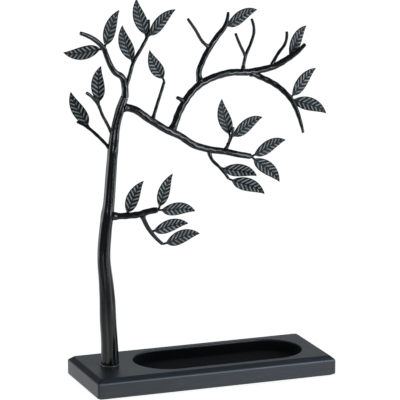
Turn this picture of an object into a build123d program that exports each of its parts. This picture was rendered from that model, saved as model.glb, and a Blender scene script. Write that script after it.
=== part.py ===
from build123d import *
import os
from math import cos, pi, radians, sin, tan

# A stand for hanging and laying small things on: a black board with a stadium-shaped tray
# sunk into it, and a tree of tapered metal boughs with cast, veined leaves at one end.
# Origin: middle of the underside. +X runs along the board away from the tree's foot,
# +Y to the back, +Z up. Lengths are in millimetres, angles in degrees.

# --- Board ---------------------------------------------------------------------------------
BASE_LENGTH = 200.0
BASE_DEPTH = 78.0
BASE_THICKNESS = 15.0
BASE_CORNER_EASE = 1.4          # flat sanded on the upright edges
CHAMFER_WIDTH = 4.0             # bevel round the top, measured inwards
CHAMFER_DROP = 3.3              # and downwards
FELT_THICKNESS = 1.0
FELT_MARGIN = 2.0               # felt stays this far inside the board's edge

# --- Tray ----------------------------------------------------------------------------------
TRAY_WIDTH = 57.0
TRAY_DEPTH = 10.0
TRAY_END_MARGIN = 16.0          # from the tray to the board's far end
TRAY_TO_TRUNK = 21.0            # from the trunk's axis to the tray's near end
TRAY_RIM_EASE = 0.6
LINING_THICKNESS = 0.8
LINING_CLEARANCE = 0.1          # lining to the milled wall
LINING_RIM_DROP = 1.2           # lining's edge below the board's face
LINING_COVE = 1.6               # slope from floor to wall, inside the lining

# --- Fixing under the trunk ----------------------------------------------------------------
FOOT_INSET = 22.5               # trunk's axis from the board's near end
COLLAR_DIAMETER = 15.5
COLLAR_THICKNESS = 1.2
SCREW_DIAMETER = 4.0
SCREW_GRIP = 11.0               # thread held in the trunk's foot
SCREW_HEAD_DIAMETER = 8.0
SCREW_HEAD_HEIGHT = 3.0
CROSS_WIDTH = 1.1               # cross recess in the screw's head
CROSS_DEPTH = 1.6
WASHER_DIAMETER = 10.0
WASHER_THICKNESS = 1.0
COUNTERBORE_DEPTH = 6.0
COUNTERBORE_CLEARANCE = 1.0     # round the washer
HOLE_CLEARANCE = 0.25           # screw to the holes it passes
THREAD_CLEARANCE = 0.05         # screw to the tapped hole
TAPPED_HOLE_SPARE = 2.0         # empty depth past the screw's point

# --- Tree ----------------------------------------------------------------------------------
TRUNK_SIDES = 15
TRUNK_FLUTES = 5
FLUTE_DEPTH = 0.055             # as a share of the trunk's radius
FLUTE_TURN = 0.8                # degrees of turn for each millimetre of height
BOUGH_SIDES = 8
TWIG_SIDES = 6
TRUNK_FLAT_LENGTH = 11.0        # length of one flat along the trunk
BOUGH_FLAT_LENGTH = 8.0         # and along a bough
TIP_EASE = 0.5                  # rim taken off the blunt end of a bough

# --- Leaf ----------------------------------------------------------------------------------
LEAF_LENGTH = 32.0              # from the axis of the twig to the leaf's point
LEAF_STEM_LENGTH = 3.4
LEAF_STEM_WIDTH = 1.7
LEAF_FULL_SIDE = 7.0            # midrib to the round edge
LEAF_SLIM_SIDE = 8.4            # pull of the hollow edge's curve, which reaches half as far
LEAF_THICKNESS = 1.2
LEAF_FOLD = 9.0                 # each half rises from the midrib by this angle
LEAF_EDGE_FLATS = 6
LEAF_POINT = 0.2
VEIN_PAIRS = 7
VEIN_DEPTH = 0.45
VEIN_HALF_WIDTH = 0.35
VEIN_ANGLE = 44.0               # vein to midrib
VEIN_FIRST = 1.4                # from the blade's start
VEIN_LAST = 5.5                 # from the leaf's point

# Heights that the sizes above settle
board_bottom = FELT_THICKNESS
board_top = board_bottom + BASE_THICKNESS
tray_floor = board_top - TRAY_DEPTH
washer_seat = board_bottom + COUNTERBORE_DEPTH
foot_x = -BASE_LENGTH / 2 + FOOT_INSET
foot_seat = board_top + COLLAR_THICKNESS
counterbore_diameter = WASHER_DIAMETER + 2 * COUNTERBORE_CLEARANCE
hole_diameter = SCREW_DIAMETER + 2 * HOLE_CLEARANCE
tree_place = Pos(foot_x, 0, board_top)

# Centre lines of the tree, as (x, y, z, diameter). They start on the trunk's axis at the
# board's face. A bough starts on the centre line of what carries it.
TRUNK = [
    (0, 0, 0, 13.8), (0, 0, 16.5, 13.0), (-1.2, 0, 37, 12.4), (-2.2, 0, 62.5, 11.2),
    (-4.2, 0, 89, 9.9), (-2.6, 0, 109.5, 9.1), (0.3, 0, 130, 8.8), (2, 0, 150, 8.2),
    (4, 0, 172, 7.4), (8, 0, 196.5, 6.8), (14, 0, 213.5, 6.2),
]
BOUGH_LEFT = [
    (14, 0, 213.5, 5.8), (14, 0, 223, 5.4), (10.7, -1, 230.5, 4.9), (6.5, -1, 233.2, 4.7),
    (2, -2, 239.5, 4.4), (-1.5, -3, 247, 4.2), (-4, -4, 253, 4.1), (-13.3, -6, 261.7, 3.8),
    (-24.5, -8, 267, 3.0),
]
TWIG_LEFT_TALL = [
    (14, 0, 219, 3.4), (18, 1, 229, 3.2), (21.6, 2.5, 238.8, 3.0), (30.6, 5, 252, 2.8),
    (34.2, 6, 257.7, 2.7), (36.4, 8, 264, 2.5), (37.2, 10, 271.5, 2.2),
]
BOUGH_LOWER = [
    (10, 0, 206, 6.0), (21.5, -1, 203.5, 6.0), (33.5, -2, 195, 5.9), (47.5, -3, 186, 5.8),
    (59, -3, 180, 5.7), (70, -4, 172.5, 5.7), (81.5, -4, 168.5, 5.6), (94.5, -5, 165.9, 5.2),
    (106, -6, 163, 5.0), (117, -6, 160.4, 4.6),
]
ARCH = [
    (50.5, -3, 184.3, 5.2), (54.3, -2.5, 190.5, 5.7), (57.8, -1, 197.7, 5.7),
    (64.4, 1, 207.6, 5.7), (78.2, 3, 219.7, 5.6), (88.4, 4, 223.6, 5.6), (101, 6, 226, 5.6),
    (122, 7, 225.7, 5.5), (145.5, 5, 231.2, 5.2), (151.8, 4, 234.9, 4.9), (158.4, 2, 239.8, 4.0),
    (165, 0, 246.5, 2.8),
]
ARCH_TAIL = [
    (119.5, 7, 225.8, 4.8), (128, 6, 221.8, 4.7), (137, 4, 217.3, 4.6), (146, 1, 210.5, 4.4),
    (151.5, -2, 204, 4.2), (155.7, -5, 194.8, 3.7), (158.3, -8, 184.4, 2.9), (159.5, -10, 177, 2.1),
]
ARCH_STUB = [(63.4, 0.5, 206.4, 3.2), (59.2, -1, 209.3, 3.1), (56, -3, 211, 2.9)]
BOUGH_TOP = [
    (78.2, 3, 219.7, 4.8), (76.6, 4, 228, 4.7), (80.9, 6, 237.3, 4.6), (87.3, 8, 246.8, 4.6),
    (94.2, 9, 255.4, 4.5), (100.2, 10, 261.7, 3.9), (104.2, 12, 273.5, 2.2),
]
TWIG_TOP_SIDE = [
    (87.3, 8, 246.8, 2.9), (82.5, 7, 250.3, 2.7), (73.2, 3, 262.6, 2.5), (66, 0, 271.9, 2.3),
]
TWIG_CROWN = [
    (114.8, 6.8, 226, 2.9), (117.3, 8, 238.2, 2.7), (122.9, 10, 248.6, 2.5),
    (125.7, 11.5, 256, 2.5), (124.6, 14, 266.8, 2.3),
]
TWIG_CROWN_PRONG = [(117.3, 8, 238.2, 2.5), (111.7, 5, 247.6, 2.4), (106.5, 2, 257.8, 2.3)]
TWIG_OUTER = [
    (138, 5.8, 228.8, 2.8), (143.6, 4, 239.7, 2.7), (148, 2, 246.6, 2.5), (148.5, -1, 257.3, 2.4),
]
TWIG_SIDE_HIGH = [
    (5, 0, 181, 2.8), (-1, -2, 193.7, 2.6), (-6, -4, 202.3, 2.5), (-9, -5, 209.5, 2.6),
    (-14.5, -7, 216.5, 2.6), (-20, -8, 220.7, 2.5),
]
TWIG_SIDE_LOW = [
    (3.8, 0, 171.5, 2.8), (-2, 3, 178.5, 2.7), (-7.5, 5, 184.5, 2.7), (-12.5, 7, 189.3, 2.6),
    (-22, 10, 195, 2.2),
]
TWIG_INNER = [(35.5, -2.2, 193.5, 2.8), (41.5, 1, 207.5, 2.6), (48, 4, 223, 2.4)]
TWIG_RISING = [(94.5, -5, 165.8, 2.9), (98.6, -3, 170.9, 2.7), (101.1, -1, 175.6, 2.4)]
TWIG_RISING_STUB = [(97.3, -3.5, 169.6, 2.4), (101, -5, 178.3, 2.3), (102.2, -5, 185, 2.1)]
TWIG_HANGING = [(82, -4, 168.3, 3.0), (83.5, -6, 161, 2.8), (89.5, -9, 154, 2.5), (95.6, -12, 145.3, 2.2)]
BRANCH_SMALL = [
    (-0.5, 0, 121, 5.4), (7.5, -2, 120.3, 5.2), (13, -3, 120.2, 5.2), (22.5, -4, 120.6, 5.2),
    (31.6, -5, 122.7, 5.1), (39, -6, 123.5, 4.6),
]
TWIG_SMALL_HANGING = [(26, -4.3, 121.3, 3.9), (33.6, -3, 105.9, 3.4), (39, -2, 99.5, 3.0), (44.5, -1, 94.5, 2.6)]

# What is welded to what: name, centre line, number of sides, and the pieces that it meets
RODS = [
    ("bough_left", BOUGH_LEFT, BOUGH_SIDES, ["trunk"]),
    ("twig_left_tall", TWIG_LEFT_TALL, TWIG_SIDES, ["bough_left"]),
    ("bough_lower", BOUGH_LOWER, BOUGH_SIDES, ["trunk"]),
    ("arch_bough", ARCH, BOUGH_SIDES, ["bough_lower"]),
    ("arch_tail", ARCH_TAIL, BOUGH_SIDES, ["arch_bough"]),
    ("arch_stub", ARCH_STUB, TWIG_SIDES, ["arch_bough"]),
    ("bough_top", BOUGH_TOP, BOUGH_SIDES, ["arch_bough"]),
    ("twig_top_side", TWIG_TOP_SIDE, TWIG_SIDES, ["bough_top"]),
    ("twig_crown", TWIG_CROWN, TWIG_SIDES, ["arch_bough"]),
    ("twig_crown_prong", TWIG_CROWN_PRONG, TWIG_SIDES, ["twig_crown"]),
    ("twig_outer", TWIG_OUTER, TWIG_SIDES, ["arch_bough"]),
    ("twig_side_high", TWIG_SIDE_HIGH, TWIG_SIDES, ["trunk"]),
    ("twig_side_low", TWIG_SIDE_LOW, TWIG_SIDES, ["trunk"]),
    ("twig_inner", TWIG_INNER, TWIG_SIDES, ["bough_lower"]),
    ("twig_rising", TWIG_RISING, TWIG_SIDES, ["bough_lower"]),
    ("twig_rising_stub", TWIG_RISING_STUB, TWIG_SIDES, ["twig_rising", "bough_lower"]),
    ("twig_hanging", TWIG_HANGING, TWIG_SIDES, ["bough_lower"]),
    ("branch_small", BRANCH_SMALL, BOUGH_SIDES, ["trunk"]),
    ("twig_small_hanging", TWIG_SMALL_HANGING, TWIG_SIDES, ["branch_small"]),
]

# Leaves: name, twig that carries it, which point of the twig's centre line it springs from,
# its direction seen from the front (0 to the right, 90 up), how far its point leans back,
# and how far the blade is rolled about its own midrib.
LEAVES = [
    ("leaf_left_up", "bough_left", BOUGH_LEFT, 6, 67, 0, 6),
    ("leaf_left_out", "bough_left", BOUGH_LEFT, 6, -178, 5, -8),
    ("leaf_tall_low", "twig_left_tall", TWIG_LEFT_TALL, 2, 106, -4, -6),
    ("leaf_tall_up", "twig_left_tall", TWIG_LEFT_TALL, 4, 104, 0, 4),
    ("leaf_tall_out", "twig_left_tall", TWIG_LEFT_TALL, 4, 41, 2, 10),
    ("leaf_inner", "twig_inner", TWIG_INNER, 2, 119, -15, 0),
    ("leaf_side_high", "twig_side_high", TWIG_SIDE_HIGH, 3, 89, -8, -5),
    ("leaf_side_low", "twig_side_low", TWIG_SIDE_LOW, 3, 113, 17, 5),
    ("leaf_top", "bough_top", BOUGH_TOP, 5, 22, 9, 8),
    ("leaf_outer", "arch_bough", ARCH, 9, 51, 16, 5),
    ("leaf_tail_up", "arch_tail", ARCH_TAIL, 4, 45, 5, 8),
    ("leaf_tail_down", "arch_tail", ARCH_TAIL, 4, -24, -11, -6),
    ("leaf_rising_up", "twig_rising", TWIG_RISING, 2, 102, 0, -6),
    ("leaf_rising_out", "twig_rising", TWIG_RISING, 2, 26, 4, 6),
    ("leaf_end_up", "bough_lower", BOUGH_LOWER, 9, 20, 4, 8),
    ("leaf_end_down", "bough_lower", BOUGH_LOWER, 9, -43, -3, -5),
    ("leaf_hanging_mid", "twig_hanging", TWIG_HANGING, 2, -16, -3, 6),
    ("leaf_hanging_end", "twig_hanging", TWIG_HANGING, 3, -25, -7, 3),
    ("leaf_small_near", "branch_small", BRANCH_SMALL, 2, 66, -12, -6),
    ("leaf_small_up", "branch_small", BRANCH_SMALL, 5, 72, -11, 6),
    ("leaf_small_out", "branch_small", BRANCH_SMALL, 5, -7, 5, 8),
    ("leaf_drop_mid", "twig_small_hanging", TWIG_SMALL_HANGING, 1, 7, 1, 6),
    ("leaf_drop_end", "twig_small_hanging", TWIG_SMALL_HANGING, 3, 10, 3, -5),
]


def make_board():
    """Board with a bevelled top, the tray's pocket, and the screw's counterbored hole."""
    board = Pos(0, 0, board_bottom) * extrude(Rectangle(BASE_LENGTH, BASE_DEPTH), BASE_THICKNESS)
    face = board.faces().sort_by(Axis.Z)[-1]
    board = chamfer(face.edges(), CHAMFER_WIDTH, CHAMFER_DROP, reference=face)
    level = board.edges().filter_by(lambda edge: edge.tangent_at(0).Z == 0)
    board = chamfer(board.edges() - level, BASE_CORNER_EASE)
    board -= tray_place * Pos(0, 0, tray_floor) * extrude(tray_outline(), TRAY_DEPTH)
    rim = board.edges().group_by(Axis.Z)[-1].filter_by(inside_tray_rim)
    board = chamfer(rim, TRAY_RIM_EASE)
    board -= Pos(foot_x, 0, board_bottom) * extrude(Circle(counterbore_diameter / 2), COUNTERBORE_DEPTH)
    board -= Pos(foot_x, 0, board_bottom) * extrude(Circle(hole_diameter / 2), BASE_THICKNESS)
    return board


def inside_tray_rim(edge):
    """True for an edge that lies on the tray's outline."""
    return abs(edge.center().Y) < TRAY_WIDTH / 2 + TRAY_RIM_EASE and (
        tray_left - TRAY_RIM_EASE < edge.center().X < tray_right + TRAY_RIM_EASE
    )


def tray_outline(inset=0.0):
    """The tray's stadium, drawn smaller all round by inset."""
    return SlotOverall(tray_right - tray_left - 2 * inset, TRAY_WIDTH - 2 * inset)


def make_tray_lining():
    """Thin flocked pan that covers the pocket's floor and wall."""
    height = TRAY_DEPTH - LINING_RIM_DROP
    inner = LINING_CLEARANCE + LINING_THICKNESS
    pan = extrude(tray_outline(LINING_CLEARANCE), height)
    hollow = Pos(0, 0, LINING_THICKNESS) * extrude(tray_outline(inner), height)
    hollow = chamfer(hollow.edges().group_by(Axis.Z)[0], LINING_COVE)
    return tray_place * Pos(0, 0, tray_floor) * (pan - hollow)


def make_felt():
    """Felt under the board, with a hole over the screw."""
    sheet = Rectangle(BASE_LENGTH - 2 * FELT_MARGIN, BASE_DEPTH - 2 * FELT_MARGIN)
    sheet -= Pos(foot_x, 0) * Circle(counterbore_diameter / 2)
    return extrude(sheet, FELT_THICKNESS)


def make_collar():
    """Flat ring between the board's face and the trunk's foot."""
    ring = extrude(Circle(COLLAR_DIAMETER / 2) - Circle(hole_diameter / 2), COLLAR_THICKNESS)
    return Pos(foot_x, 0, board_top) * ring


def make_washer():
    """Flat washer at the top of the counterbore."""
    ring = extrude(Circle(WASHER_DIAMETER / 2) - Circle(hole_diameter / 2), WASHER_THICKNESS)
    return Pos(foot_x, 0, washer_seat - WASHER_THICKNESS) * ring


def make_screw():
    """Cheese-head screw, driven up from below into the trunk's foot."""
    under_head = washer_seat - WASHER_THICKNESS
    shank_length = foot_seat + SCREW_GRIP - under_head
    shank = extrude(Circle(SCREW_DIAMETER / 2), shank_length)
    head = extrude(Circle(SCREW_HEAD_DIAMETER / 2), -SCREW_HEAD_HEIGHT)
    cross_length = SCREW_HEAD_DIAMETER * 0.55
    cross = Rectangle(cross_length, CROSS_WIDTH) + Rectangle(CROSS_WIDTH, cross_length)
    recess = Pos(0, 0, -SCREW_HEAD_HEIGHT) * extrude(cross, CROSS_DEPTH)
    return Pos(foot_x, 0, under_head) * (shank + head - recess)


def section_plane(path, share):
    """Plane square to a centre line, turned so that its x axis stays close to +Y."""
    along = path.tangent_at(share)
    back = Vector(0, 1, 0)
    across = (back - along * back.dot(along)).normalized()
    return Plane(origin=path.position_at(share), x_dir=across, z_dir=along)


def diameter_at(route, shares, share):
    """Diameter between the two points of a route that a place on it lies between."""
    span = max(i for i in range(len(route) - 1) if shares[i] <= share + 1e-6)
    part = (share - shares[span]) / (shares[span + 1] - shares[span])
    return route[span][3] + (route[span + 1][3] - route[span][3]) * part


def loft_along(route, flat_length, outline):
    """Skin straight flats over outlines set square to a smooth line through a route."""
    points = [Vector(x, y, z) for x, y, z, _ in route]
    path = Spline(*points)
    shares = [path.param_at_point(point) for point in points]
    shares[0] = 0.0
    shares[-1] = 1.0
    count = max(3, round(path.length / flat_length))
    stations = [i / count for i in range(count + 1)]
    sections = [
        section_plane(path, share) * outline(diameter_at(route, shares, share), path.position_at(share))
        for share in stations
    ]
    return loft(sections, ruled=True), sections[-1]


def make_rod(route, sides):
    """Tapered bough with forged flats and a blunt, eased end."""
    rod, end = loft_along(
        route, BOUGH_FLAT_LENGTH, lambda diameter, _: RegularPolygon(diameter / 2, sides)
    )
    return rod + extrude(end, TIP_EASE, taper=45)


def fluted_outline(diameter, place):
    """Round outline with shallow flutes that turn slowly with height, like old bark."""
    turn = radians(FLUTE_TURN * place.Z)
    corners = []
    for i in range(TRUNK_SIDES):
        angle = 2 * pi * i / TRUNK_SIDES
        ripple = FLUTE_DEPTH * cos(TRUNK_FLUTES * angle + turn) + FLUTE_DEPTH * sin(2 * angle - turn) / 2
        radius = diameter / 2 * (1 + ripple)
        corners.append((radius * cos(angle), radius * sin(angle)))
    return make_face(Polyline(*corners, close=True))


def make_trunk():
    """Fluted, tapering trunk, cut flat at the foot and tapped for the screw."""
    trunk, _ = loft_along(TRUNK, TRUNK_FLAT_LENGTH, fluted_outline)
    trunk = split(trunk, bisect_by=Plane.XY.offset(COLLAR_THICKNESS), keep=Keep.TOP)
    tapped = Circle(SCREW_DIAMETER / 2 + THREAD_CLEARANCE)
    return trunk - extrude(tapped, COLLAR_THICKNESS + SCREW_GRIP + TAPPED_HOLE_SPARE)


def leaf_outline():
    """Blade seen from the front: one full round edge, one edge that hollows to the point."""
    start = LEAF_STEM_LENGTH
    half_stem = LEAF_STEM_WIDTH / 2
    blade_length = LEAF_LENGTH - start
    full_edge = ThreePointArc(
        (start, half_stem), (start + blade_length / 2, LEAF_FULL_SIDE), (LEAF_LENGTH, LEAF_POINT)
    )
    slim_edge = Bezier(
        (start, -half_stem), (start + 0.25 * blade_length, -LEAF_SLIM_SIDE),
        (start + 0.68 * blade_length, -LEAF_SLIM_SIDE * 0.1), (LEAF_LENGTH, -LEAF_POINT),
    )
    shares = [i / LEAF_EDGE_FLATS for i in range(LEAF_EDGE_FLATS + 1)]
    corners = [(0, half_stem)] + [full_edge @ share for share in shares]
    corners += [slim_edge @ (1 - share) for share in shares] + [(0, -half_stem)]
    return make_face(Polyline(*corners, close=True))


def vein(start, side):
    """V-shaped groove that runs from the midrib to the edge, in the face of one half."""
    slope = tan(radians(LEAF_FOLD))
    angle = radians(VEIN_ANGLE)
    along = Vector(cos(angle), side * sin(angle), sin(angle) * slope).normalized()
    across = along.cross(Vector(0, -side * slope, 1)).normalized()
    plane = Plane(origin=(start, 0, 0), x_dir=across, z_dir=along)
    upward = 1 if plane.y_dir.Z > 0 else -1
    mouth = VEIN_HALF_WIDTH * 1.5
    lip = VEIN_DEPTH * 0.5
    groove = Polyline(
        (0, -VEIN_DEPTH * upward), (mouth, lip * upward), (-mouth, lip * upward), close=True
    )
    reach = 1.5 * LEAF_FULL_SIDE
    return extrude(plane * make_face(groove), reach)


def make_leaf():
    """One cast leaf: flat stem and blade, folded at the midrib, with its veins. It lies along +X."""
    reach = LEAF_LENGTH / 3
    rise = reach * tan(radians(LEAF_FOLD))
    fold = Polyline(
        (0, 0), (reach, rise), (reach, rise - LEAF_THICKNESS), (0, -LEAF_THICKNESS),
        (-reach, rise - LEAF_THICKNESS), (-reach, rise), close=True,
    )
    blade = extrude(leaf_outline(), reach, both=True) & extrude(Plane.YZ * make_face(fold), LEAF_LENGTH + 1)
    first = LEAF_STEM_LENGTH + VEIN_FIRST
    spacing = (LEAF_LENGTH - VEIN_LAST - first) / (VEIN_PAIRS - 1)
    veins = [vein(first + spacing * i, side) for i in range(VEIN_PAIRS) for side in (1, -1)]
    return Pos(0, 0, LEAF_THICKNESS / 2) * (blade - veins)


def leaf_place(route, point, heading, lean, roll):
    """Place of a leaf: its stem on the twig's centre line, its face to the front."""
    x, y, z, _ = route[point]
    turn = radians(heading)
    tilt = radians(lean)
    along = Vector(cos(turn) * cos(tilt), sin(tilt), sin(turn) * cos(tilt))
    front = Vector(0, -1, 0)
    face = (front - along * front.dot(along)).normalized()
    return Plane(origin=(x, y, z), x_dir=along, z_dir=face).location * Rot(roll, 0, 0)


def seated(piece, carriers):
    """The piece trimmed to the faces of what carries it, without the ends inside them."""
    for carrier in carriers:
        piece -= carrier
    return piece.solids().sort_by(SortBy.VOLUME)[-1]


tray_left = foot_x + TRAY_TO_TRUNK
tray_right = BASE_LENGTH / 2 - TRAY_END_MARGIN
tray_place = Pos((tray_left + tray_right) / 2, 0)

pieces = {
    "base_board": make_board(),
    "base_felt": make_felt(),
    "tray_lining": make_tray_lining(),
    "foot_collar": make_collar(),
    "fixing_screw": make_screw(),
    "screw_washer": make_washer(),
}

tree = {"trunk": make_trunk()}
for name, route, sides, carriers in RODS:
    tree[name] = seated(make_rod(route, sides), [tree[carrier] for carrier in carriers])

leaf = make_leaf()
sharing = {}
for name, carrier, route, point, heading, lean, roll in LEAVES:
    neighbours = sharing.setdefault((carrier, point), [])
    placed = leaf_place(route, point, heading, lean, roll) * leaf
    tree[name] = seated(placed, [tree[carrier]] + neighbours)
    neighbours.append(tree[name])

pieces.update({name: tree_place * piece for name, piece in tree.items()})

os.makedirs("parts", exist_ok=True)
for name, piece in pieces.items():
    export_step(piece, f"parts/{name}.step")
    print(name, len(piece.solids()), "solid(s),", round(piece.volume, 1), "mm3")
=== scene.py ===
import math

import bmesh
import bpy
import numpy as np
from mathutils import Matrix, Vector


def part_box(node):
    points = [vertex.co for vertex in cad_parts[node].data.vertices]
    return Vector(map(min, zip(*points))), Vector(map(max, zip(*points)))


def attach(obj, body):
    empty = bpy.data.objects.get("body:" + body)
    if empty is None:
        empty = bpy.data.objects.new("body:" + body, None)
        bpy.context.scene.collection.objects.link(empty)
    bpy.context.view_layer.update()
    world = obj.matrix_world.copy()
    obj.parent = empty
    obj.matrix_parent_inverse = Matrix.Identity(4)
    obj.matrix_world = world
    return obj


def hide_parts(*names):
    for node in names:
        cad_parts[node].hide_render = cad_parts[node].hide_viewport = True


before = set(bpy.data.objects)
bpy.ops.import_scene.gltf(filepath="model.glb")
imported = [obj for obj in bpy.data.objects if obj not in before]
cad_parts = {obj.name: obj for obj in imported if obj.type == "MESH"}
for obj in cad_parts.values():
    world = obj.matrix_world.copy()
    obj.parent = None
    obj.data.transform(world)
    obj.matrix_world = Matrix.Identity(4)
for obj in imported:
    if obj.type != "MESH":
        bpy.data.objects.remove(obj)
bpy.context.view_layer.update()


# --- Board ----------------------------------------------------------------------------------
# The board is a block of MDF, milled with a bevel round its top, a stadium pocket and, from
# below, a stepped hole for the screw. It is primed and sprayed with satin black lacquer, so
# every edge is slightly rounded by the paint.

def mm(values):
    """Millimetres to metres, for a number or a list of them."""
    return np.asarray(values, dtype=float) * 0.001


BOARD_LOW, BOARD_HIGH = (np.array(corner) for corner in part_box("base_board"))
BOARD_HALF_X, BOARD_HALF_Y = BOARD_HIGH[:2]
BOARD_BOTTOM, BOARD_TOP = BOARD_LOW[2], BOARD_HIGH[2]
BOARD_CORNER = mm(2.0)
BEVEL_WIDTH, BEVEL_DROP = mm(4.0), mm(3.3)
PAINT_ROUND = mm(0.8)
HOLE_EDGE_ROUND = mm(0.32)
LEG_SHARE = 0.45                # the most of a leg that a rounded corner takes
HELD_SHARE = 0.3                # distance of the loop beyond each arc, as a share of its radius
LINING_LOW, LINING_HIGH = (np.array(corner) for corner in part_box("tray_lining"))
LINING_GAP = mm(0.1)
TRAY_X = (LINING_LOW[0] + LINING_HIGH[0]) / 2
TRAY_HALF_X = (LINING_HIGH[0] - LINING_LOW[0]) / 2 + LINING_GAP
TRAY_HALF_Y = LINING_HIGH[1] + LINING_GAP
TRAY_FLOOR = LINING_LOW[2]
TRAY_RIM_ROUND = mm(0.8)
# Half width of the painted highlight line along the bevel's lower edge
BEVEL_HIGHLIGHT_HALF_WIDTH = mm(0.8)
FOOT_X = sum(corner[0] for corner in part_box("foot_collar")) / 2
HOLE_RADIUS, HOLE_CEILING_SKIN = mm(2.25), mm(0.1)
COUNTERBORE_RADIUS, COUNTERBORE_TOP = mm(5.5), mm(7.0)
CORNER_POINTS = 25


def level_loop(centre_x, half_x, half_y, radius, height):
    """One level: a rectangle with quarter circles at its corners. With the radius as large as
    half its depth it is a stadium, and with all three sizes alike it is a circle."""
    angle = np.arange(4)[:, None] * math.pi / 2 + np.linspace(0, math.pi / 2, CORNER_POINTS)
    side_x = np.array([1, -1, -1, 1])[:, None]
    side_y = np.array([1, 1, -1, -1])[:, None]
    x = centre_x + side_x * (half_x - radius) + radius * np.cos(angle)
    y = side_y * (half_y - radius) + radius * np.sin(angle)
    return np.stack([x, y, np.full_like(x, height)], axis=-1).reshape(-1, 3)


def round_corners(profile, radius, steps=5):
    """A profile whose inner corners are replaced by parabolas that touch both legs: each point
    is (1-t)^2 a + 2t(1-t) c + t^2 b, with a and b on the legs, radius away from corner c. One
    more point beyond each end of an arc keeps the face beside it flat."""
    profile = np.asarray(profile, dtype=float)
    corner = profile[1:-1]
    before, after = profile[:-2] - corner, profile[2:] - corner
    length_before = np.linalg.norm(before, axis=1, keepdims=True)
    length_after = np.linalg.norm(after, axis=1, keepdims=True)
    a = corner + before / length_before * np.minimum(radius, length_before * LEG_SHARE)
    b = corner + after / length_after * np.minimum(radius, length_after * LEG_SHARE)
    t = np.linspace(0, 1, steps)[None, :, None]
    arcs = (1 - t) ** 2 * a[:, None] + 2 * t * (1 - t) * corner[:, None] + t ** 2 * b[:, None]
    held_a = a + before / length_before * radius * HELD_SHARE
    held_b = b + after / length_after * radius * HELD_SHARE
    rounded = np.concatenate([held_a[:, None], arcs, held_b[:, None]], axis=1)
    return np.vstack([profile[:1], rounded.reshape(-1, 2), profile[-1:]])


def closed_shell(name, rows, closed_ends=True):
    """A mesh skinned over rows of points, each row a closed loop. Quads join each row to the
    next, and a face closes each end. Walked anticlockwise, the rows make the faces point out.
    Without closed ends the last row is joined to the first."""
    rows = np.asarray(rows)
    count, around = rows.shape[:2]
    index = np.arange(count * around).reshape(count, around)
    following = index[1:] if closed_ends else np.roll(index, -1, axis=0)
    here = index[:-1] if closed_ends else index
    quads = np.stack([here, np.roll(here, -1, axis=1), np.roll(following, -1, axis=1), following],
                     axis=-1).reshape(-1, 4).tolist()
    caps = [index[0, ::-1].tolist(), index[-1].tolist()] if closed_ends else []
    mesh = bpy.data.meshes.new(name)
    mesh.from_pydata(rows.reshape(-1, 3), [], quads + caps)
    mesh.shade_smooth()
    piece = bpy.data.objects.new(name, mesh)
    bpy.context.scene.collection.objects.link(piece)
    return piece


def level_shell(name, rows, closed_ends=True):
    """A shell over level loops, with the points merged where a short side has no length."""
    piece = closed_shell(name, rows, closed_ends)
    clean = bmesh.new()
    clean.from_mesh(piece.data)
    bmesh.ops.remove_doubles(clean, verts=clean.verts, dist=1e-6)
    clean.to_mesh(piece.data)
    clean.free()
    return piece


def board_rows():
    """Levels from the blind end of the screw's hole, down and out along the underside, up the
    sides, over the bevel and the top, and down to the pocket's floor."""
    hole = round_corners([
        (HOLE_RADIUS, BOARD_TOP - HOLE_CEILING_SKIN), (HOLE_RADIUS, COUNTERBORE_TOP),
        (COUNTERBORE_RADIUS, COUNTERBORE_TOP), (COUNTERBORE_RADIUS, BOARD_BOTTOM),
        (COUNTERBORE_RADIUS + PAINT_ROUND, BOARD_BOTTOM),
    ], HOLE_EDGE_ROUND)
    sides = round_corners([
        (3 * BEVEL_WIDTH, BOARD_BOTTOM), (0, BOARD_BOTTOM), (0, BOARD_TOP - BEVEL_DROP),
        (BEVEL_WIDTH, BOARD_TOP), (BEVEL_WIDTH + 2 * PAINT_ROUND, BOARD_TOP),
    ], PAINT_ROUND)[1:]
    rim = round_corners([
        (3 * TRAY_RIM_ROUND, BOARD_TOP), (0, BOARD_TOP), (0, TRAY_FLOOR),
        (-3 * TRAY_RIM_ROUND, TRAY_FLOOR),
    ], TRAY_RIM_ROUND)
    rows = [level_loop(FOOT_X, radius, radius, radius, height) for radius, height in hole]
    rows += [level_loop(0, BOARD_HALF_X - inset, BOARD_HALF_Y - inset, BOARD_CORNER, height)
             for inset, height in sides]
    rows += [level_loop(TRAY_X, TRAY_HALF_X + flare, TRAY_HALF_Y + flare, TRAY_HALF_Y + flare,
                        height) for flare, height in rim]
    return rows


def linear(hex_colour):
    """An sRGB hex colour as linear red, green, blue and alpha."""
    channels = np.array([int(hex_colour[i:i + 2], 16) for i in (1, 3, 5)]) / 255
    curve = np.where(channels <= 0.04045, channels / 12.92, ((channels + 0.055) / 1.055) ** 2.4)
    return (*curve.tolist(), 1.0)


def node(material, kind, settings=(), links=(), stops=()):
    """Add a node. Settings are its own properties and its sockets' values, links say what comes
    into each socket, and stops are a ramp's positions and colours. Sockets go by name, or by
    number where several share one."""
    made = material.node_tree.nodes.new(kind)
    for name, value in dict(settings).items():
        if isinstance(name, int) or name in made.inputs:
            made.inputs[name].default_value = value
        else:
            setattr(made, name, value)
    for name, source in dict(links).items():
        material.node_tree.links.new(source, made.inputs[name])
    if stops:
        ramp = made.color_ramp.elements
        ramp.remove(ramp[1])
        ramp[0].position, ramp[0].color = stops[0]
        for position, colour in stops[1:]:
            ramp.new(position).color = colour
    return made


def new_material(name):
    """A node material that has no nodes yet."""
    material = bpy.data.materials.new(name)
    material.use_nodes = True
    material.node_tree.nodes.clear()
    return material


def per_metre(size_mm):
    """Scale of a noise on Object coordinates whose lumps are this many millimetres apart."""
    return 1000 / size_mm


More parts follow.
